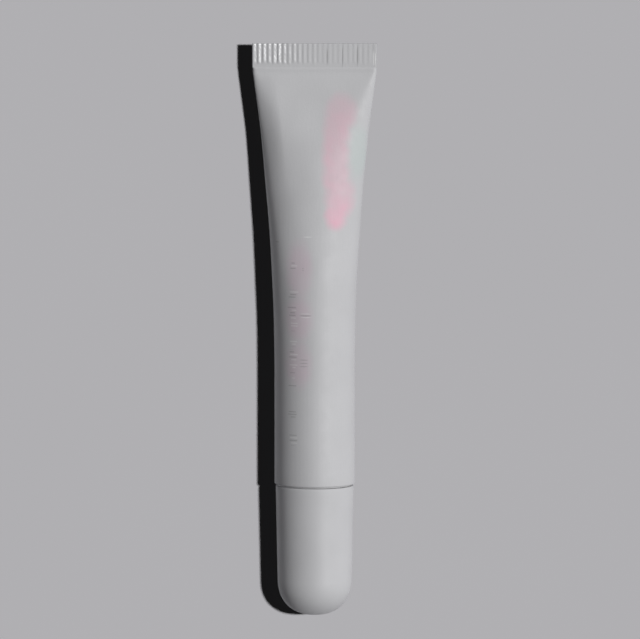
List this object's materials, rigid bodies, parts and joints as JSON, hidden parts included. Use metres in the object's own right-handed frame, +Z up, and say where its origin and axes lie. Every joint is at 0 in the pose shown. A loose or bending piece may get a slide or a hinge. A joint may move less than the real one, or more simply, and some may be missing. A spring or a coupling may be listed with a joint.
{
  "type": "lip gloss tube",
  "caption": "Soft squeeze tube with a flat crimped tail, a threaded neck with a slanted lip applicator, and a domed screw cap that comes off.",
  "frame": {"origin": "centre of the bottom of the part's box, on the surface that the tube lies on, under the middle of its length", "axes": "+Y along the tube's axis towards the crimped tail, -Y towards the cap's tip, +X across the flat of the crimp, +Z up, away from the surface"},
  "size_m": [0.0248, 0.1142, 0.016],
  "materials": {
    "sleeve_plastic": "satin frosted polyethylene",
    "head_plastic": "natural moulded polyethylene",
    "applicator_elastomer": "soft translucent elastomer",
    "gloss": "clear tinted gel",
    "cap_plastic": "satin moulded polypropylene",
    "liner_plastic": "moulded polypropylene",
    "seal_foam": "closed-cell foam"
  },
  "bodies": {
    "tube": {"tube_sleeve": "sleeve_plastic", "tube_head": "head_plastic", "applicator_tip": "applicator_elastomer", "gloss_fill": "gloss"},
    "seal": {"cap_seal": "seal_foam"},
    "cap": {"cap_shell": "cap_plastic", "cap_liner": "liner_plastic"}
  },
  "joints": [
    {"name": "cap_advance", "type": "slide", "parent": "tube", "child": "seal", "axis": [0, -1, 0], "range_m": [0, 0.022]},
    {"name": "cap_turn", "type": "hinge", "parent": "seal", "child": "cap", "pos_m": [0, -0.03087, 0.008], "axis": [0, -1, 0], "range_deg": [0, 1980]}
  ],
  "couplings": [
    {"joint": "cap_advance", "follows": "cap_turn", "m_per_rad": 0.0006366}
  ]
}
